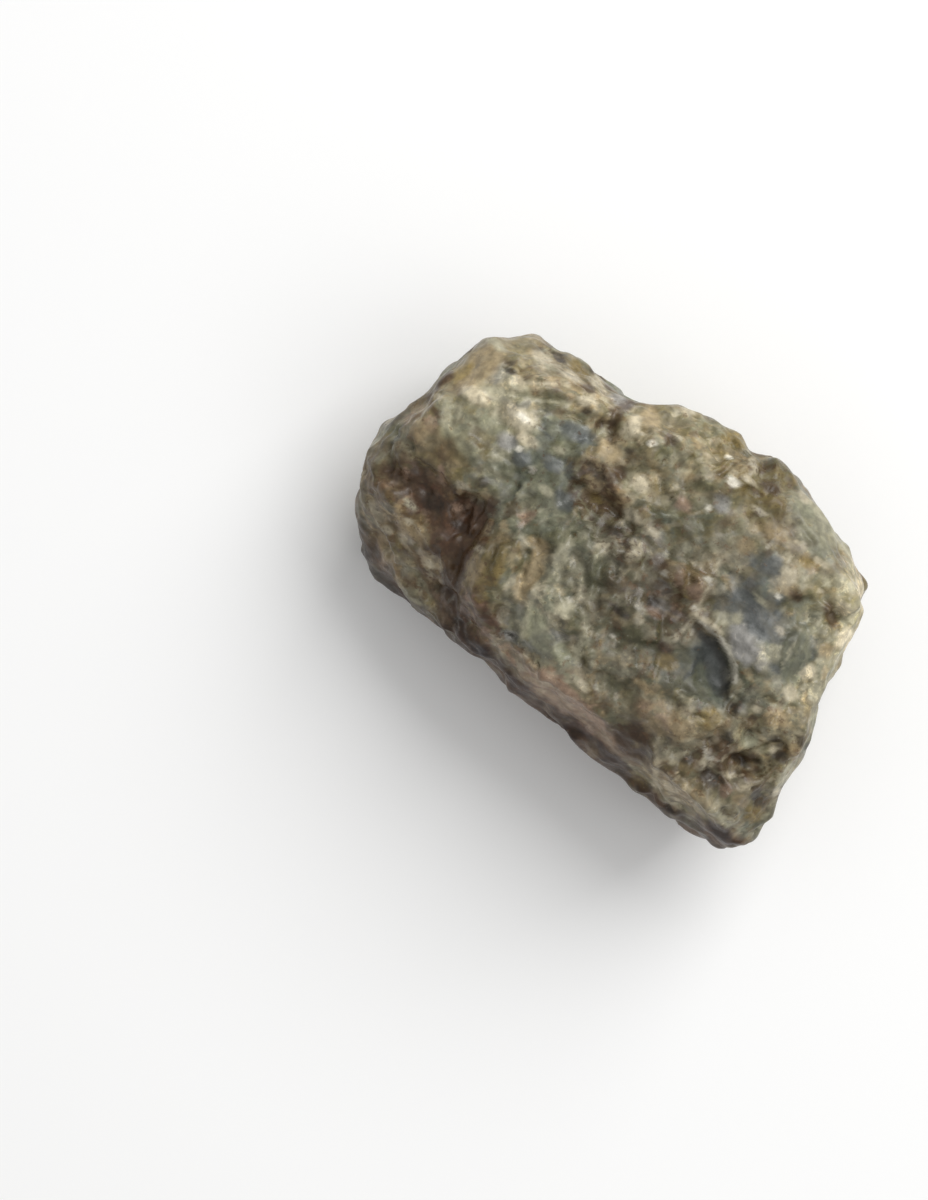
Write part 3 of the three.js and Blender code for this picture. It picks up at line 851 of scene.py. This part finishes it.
def toned_and_lit(points, colour, wander, on_top):
    """The colour with its lighter and darker places, partly its own tone and partly painted light and
    shade.
    """
    for centre, half, brightness in TONES_AND_PAINTED_LIGHT:
        inside = ellipse(wandered(points, wander, min(half)), centre, half, 0, 0.5)
        colour = colour * (1 + (brightness - 1) * inside * on_top)[:, None]
    return colour


def stained_and_shaded(points, normals, colour, wander):
    """The colour darkened to reddish brown on the side that faces -Y, partly a stain and partly painted
    shade and painted red reflected light, thinner here and there.
    """
    _, above_foot = path_distance(wandered(points, wander, 1.2), FOOT)
    # Painted shade: the steep faces turned towards -Y are darkened as well.
    facing_it = smooth(-0.2, -0.8, normals[:, 1]) * smooth(17, 11, points[:, 2])
    cover = np.maximum(smooth(0.6, -0.6, above_foot), facing_it)
    cover *= 1 - 0.35 * smooth(0.05, 0.45, layered(points, 3.2, 91.0, 2))
    return colour * (1 - cover[:, None] * (1 - STAIN_AND_SHADE))


def painted(mesh, points, normals):
    """Colour, and the shares of light flecks, dark flecks and gloss."""
    on_top = smooth(14, 18.5, points[:, 2]) * smooth(-0.1, 0.3, normals[:, 2])
    wander = wandering(points)
    weights = ground_weights(points, wander, on_top)
    stillness = calm(points)
    colour, kinds = regions(mesh, points)
    colour, light, dark = grounded(colour, weights)
    colour = colour * (1 + 0.22 * layered(points, 2.6, 44.0))[:, None]
    colour, gloss = grained(points, colour, kinds, weights, stillness)
    colour = strayed(points, colour, wander, on_top)
    colour = marked(points, colour, wander, on_top)
    # Painted light and shade, partly the stone's own tone: broad places made lighter or darker.
    colour = toned_and_lit(points, colour, wander, on_top)
    # Painted shade and red reflected light, with a stain: the side that faces -Y is darkened.
    colour = stained_and_shaded(points, normals, colour, wander)
    fleck_room = 1 - POLISH * stillness
    shares = np.stack([light * fleck_room, dark * fleck_room, gloss], 1)
    return np.clip(colour, DARKEST, LIGHTEST), shares


def store(mesh, name, values):
    """Keeps three numbers at each vertex, as a colour attribute that the material reads."""
    attribute = mesh.attributes.new(name, "FLOAT_COLOR", "POINT")
    full = np.concatenate([values, np.ones((len(values), 1))], 1)
    attribute.data.foreach_set("color", full.astype(np.float32).ravel())


# ---------------------------------------------------------------- the material

# Flecks: the size of each kind, and how strong it is.
DARK_FLECKS = ((1.2, 0.55), (0.6, 0.35))
LIGHT_FLECKS = ((1.2, 0.75), (0.7, 0.5))
FLECK_GAIN = (1.75, 1.70, 1.60, 1.0)  # how much brighter a light fleck is than its mineral

FELDSPAR_IOR = 1.56


class Nodes:
    """Adds nodes to a material's tree, with their inputs given by name or number."""

    def __init__(self, tree):
        self.tree = tree

    def add(self, kind, inputs=(), **settings):
        node = self.tree.nodes.new(kind)
        for key, value in settings.items():
            setattr(node, key, value)
        for key, value in dict(inputs).items():
            socket = node.inputs[key]
            if isinstance(value, bpy.types.NodeSocket):
                self.tree.links.new(value, socket)
            else:
                socket.default_value = value
        return node

    def math(self, operation, a, b, c=0.5, clamp=False):
        """An operation on two values, or on three where it takes them."""
        inputs = {0: a, 1: b, 2: c}
        return self.add("ShaderNodeMath", inputs, operation=operation, use_clamp=clamp).outputs[0]

    def spread(self, value, low, high, to_low=0.0, to_high=1.0):
        """A soft rise from to_low at low to to_high at high."""
        inputs = {0: value, 1: low, 2: high, 3: to_low, 4: to_high}
        return self.add("ShaderNodeMapRange", inputs, interpolation_type="SMOOTHSTEP").outputs[0]

    def noise(self, vector, wave, detail, roughness=0.55):
        """Noise whose waves are that many millimetres long."""
        inputs = {"Vector": vector, "Scale": 1 / (wave * MM), "Detail": detail, "Roughness": roughness}
        return self.add("ShaderNodeTexNoise", inputs).outputs["Fac"]

    def fleck(self, vector, wave, share, detail):
        """Ragged spots that cover a few percent of the surface at a share of 0, and half of it at 1."""
        edge = self.math("MULTIPLY_ADD", share, -0.20, 0.70)
        above_edge = self.math("SUBTRACT", self.noise(vector, wave, detail, 0.6), edge)
        return self.spread(above_edge, -0.05, 0.07)

    def cells(self, vector, wave):
        """The outputs of cells about that many millimetres across."""
        inputs = {"Vector": vector, "Scale": 1 / (wave * MM)}
        return self.add("ShaderNodeTexVoronoi", inputs).outputs

    def mix(self, share, a, b, blend="MIX"):
        """Colour a with colour b laid over it, by a share."""
        node = self.add("ShaderNodeMix", data_type="RGBA", blend_type=blend)
        for key, value in ((0, share), (6, a), (7, b)):
            if isinstance(value, bpy.types.NodeSocket):
                self.tree.links.new(value, node.inputs[key])
            else:
                node.inputs[key].default_value = value
        return node.outputs[2]


def colour_of(name):
    """A mineral's colour, as a node's socket takes it."""
    return (*MINERALS[name], 1.0)


def stone_colour(n, place, mineral, light, dark, glossy_painted_glint):
    """The mineral of each place, mottled, with ragged dark and light flecks, and small glints painted
    white as highlights.
    """
    tone = n.spread(n.noise(place, 0.8, 2.0), 0.3, 0.7, 0.82, 1.20)
    grey = n.add("ShaderNodeCombineColor", {0: tone, 1: tone, 2: tone}).outputs[0]
    colour = n.mix(1.0, mineral, grey, "MULTIPLY")
    for wave, strength in DARK_FLECKS:
        fleck = n.math("MULTIPLY", n.fleck(place, wave, dark, 3.0), strength)
        colour = n.mix(fleck, colour, colour_of("umber"))
    for wave, strength in LIGHT_FLECKS:
        fleck = n.math("MULTIPLY", n.fleck(place, wave, light, 2.5), strength)
        colour = n.mix(fleck, colour, FLECK_GAIN, "MULTIPLY")
    # Painted highlight: white laid over the colour at the glints.
    return n.mix(n.math("MULTIPLY", glossy_painted_glint, 0.9), colour, colour_of("white"))


def stone_roughness(n, place, gloss, glossy_painted_glint):
    """Glassy cleavage next to a dull broken surface."""
    dull = n.spread(n.noise(place, 1.3, 3.0), 0.3, 0.7, 0.40, 0.62)
    roughness = n.math("ADD", dull, n.math("MULTIPLY", gloss, -0.22))
    return n.math("SUBTRACT", roughness, n.math("MULTIPLY", glossy_painted_glint, 0.2), clamp=True)


def stone_bump(n, place):
    """Tiny steps, with grit on them."""
    steps = {"Strength": 0.2, "Distance": 0.14 * MM, "Height": n.cells(place, 0.7)["Distance"]}
    stepped = n.add("ShaderNodeBump", steps).outputs[0]
    grit = {"Strength": 0.15, "Distance": 0.18 * MM, "Height": n.noise(place, 0.4, 4.0, 0.6)}
    return n.add("ShaderNodeBump", {**grit, "Normal": stepped}).outputs[0]


def feldspar():
    """The stone's material, which reads the colour and the shares kept at the vertices."""
    material = bpy.data.materials.new("labradorite")
    material.use_nodes = True
    tree = material.node_tree
    tree.nodes.clear()
    n = Nodes(tree)
    place = n.add("ShaderNodeTexCoord").outputs["Object"]
    mineral = n.add("ShaderNodeAttribute", attribute_name="mineral").outputs["Color"]
    shares = n.add("ShaderNodeAttribute", attribute_name="shares").outputs["Color"]
    light, dark, gloss = n.add("ShaderNodeSeparateColor", {0: shares}).outputs
    # Painted glints: small spots where white is laid into the colour as painted highlights; they are
    # glossier too.
    glossy_painted_glint = n.math("MULTIPLY", n.spread(n.noise(place, 0.8, 1.5), 0.66, 0.82), light)
    finish = {
        "Base Color": stone_colour(n, place, mineral, light, dark, glossy_painted_glint),
        "Roughness": stone_roughness(n, place, gloss, glossy_painted_glint),
        "Normal": stone_bump(n, place),
        "IOR": FELDSPAR_IOR,
        "Specular IOR Level": 0.3,
    }
    shader = n.add("ShaderNodeBsdfPrincipled", finish)
    n.add("ShaderNodeOutputMaterial", {"Surface": shader.outputs[0]})
    return material


def plain(name, colour, roughness):
    """A material of one colour, for the floor."""
    material = bpy.data.materials.new(name)
    material.use_nodes = True
    shader = material.node_tree.nodes["Principled BSDF"]
    shader.inputs["Base Color"].default_value = (*colour, 1)
    shader.inputs["Roughness"].default_value = roughness
    return material


# ---------------------------------------------------------------- the stone

stone = fine_copy()
sculpt(stone.data)
final = fit_to_box(stone.data)
mineral, shares = painted(stone.data, final, vertex_normals(stone.data))
store(stone.data, "mineral", mineral)
store(stone.data, "shares", shares)
stone.data.transform(Matrix.Scale(MM, 4))
stone.data.materials.clear()
stone.data.materials.append(feldspar())
stone.data.polygons.foreach_set("use_smooth", np.ones(len(stone.data.polygons), bool))
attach(stone, "root")
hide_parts(NODE)

# ---------------------------------------------------------------- the studio

ROLL = 37.0  # degrees: the stone's length runs down to the right at this angle
LEVEL = 15.0  # the height that the camera and the lights are aimed at
FRAME_WIDTH = 103.9  # how wide the view is at that height
DISTANCE = 380.0  # from the camera to that height
AIM = (-11.4, -13.9)  # the middle of the view
SENSOR = 36

FLOOR_HALF = 3.0  # metres
FLOOR_COLOUR = (0.9, 0.9, 0.895)
SKY_STRENGTH = 0.50

# Softboxes: direction from the stone, distance and size in metres, power in watts.
KEY = ((0.1, 0.95, 0.9), 0.9, 0.7, 7.2)
FILL = ((0.9, 0.1, 1.1), 1.1, 0.8, 2.0)

camera = bpy.data.objects.new("camera", bpy.data.cameras.new("camera"))
bpy.context.scene.collection.objects.link(camera)
camera.data.sensor_fit = "HORIZONTAL"
camera.data.sensor_width = SENSOR
camera.data.lens = SENSOR * DISTANCE / FRAME_WIDTH
camera.data.clip_start = 0.01
camera.data.clip_end = 20
camera_place = Matrix.Translation(Vector((*AIM, LEVEL + DISTANCE)) * MM)
camera.matrix_world = camera_place @ Matrix.Rotation(math.radians(ROLL), 4, "Z")
bpy.context.scene.camera = camera

floor_mesh = bpy.data.meshes.new("floor")
corners = [(x * FLOOR_HALF, y * FLOOR_HALF, 0) for x, y in ((-1, -1), (1, -1), (1, 1), (-1, 1))]
floor_mesh.from_pydata(corners, [], [(0, 1, 2, 3)])
floor = bpy.data.objects.new("floor", floor_mesh)
floor.data.materials.append(plain("pale_floor", FLOOR_COLOUR, 0.9))
bpy.context.scene.collection.objects.link(floor)


def soft_light(name, direction, distance, size, power):
    """A square softbox, aimed at the stone."""
    light = bpy.data.lights.new(name, "AREA")
    light.shape = "SQUARE"
    light.size = size
    light.energy = power
    lamp = bpy.data.objects.new(name, light)
    way = Vector(direction).normalized()
    lamp.location = way * distance + Vector((0, 0, LEVEL * MM))
    lamp.rotation_euler = way.to_track_quat("Z", "Y").to_euler()
    bpy.context.scene.collection.objects.link(lamp)


soft_light("key", *KEY)
soft_light("fill", *FILL)

world = bpy.data.worlds.new("studio")
world.use_nodes = True
world.node_tree.nodes["Background"].inputs["Color"].default_value = (1, 1, 1, 1)
world.node_tree.nodes["Background"].inputs["Strength"].default_value = SKY_STRENGTH
bpy.context.scene.world = world
bpy.context.scene.view_settings.view_transform = "Standard"
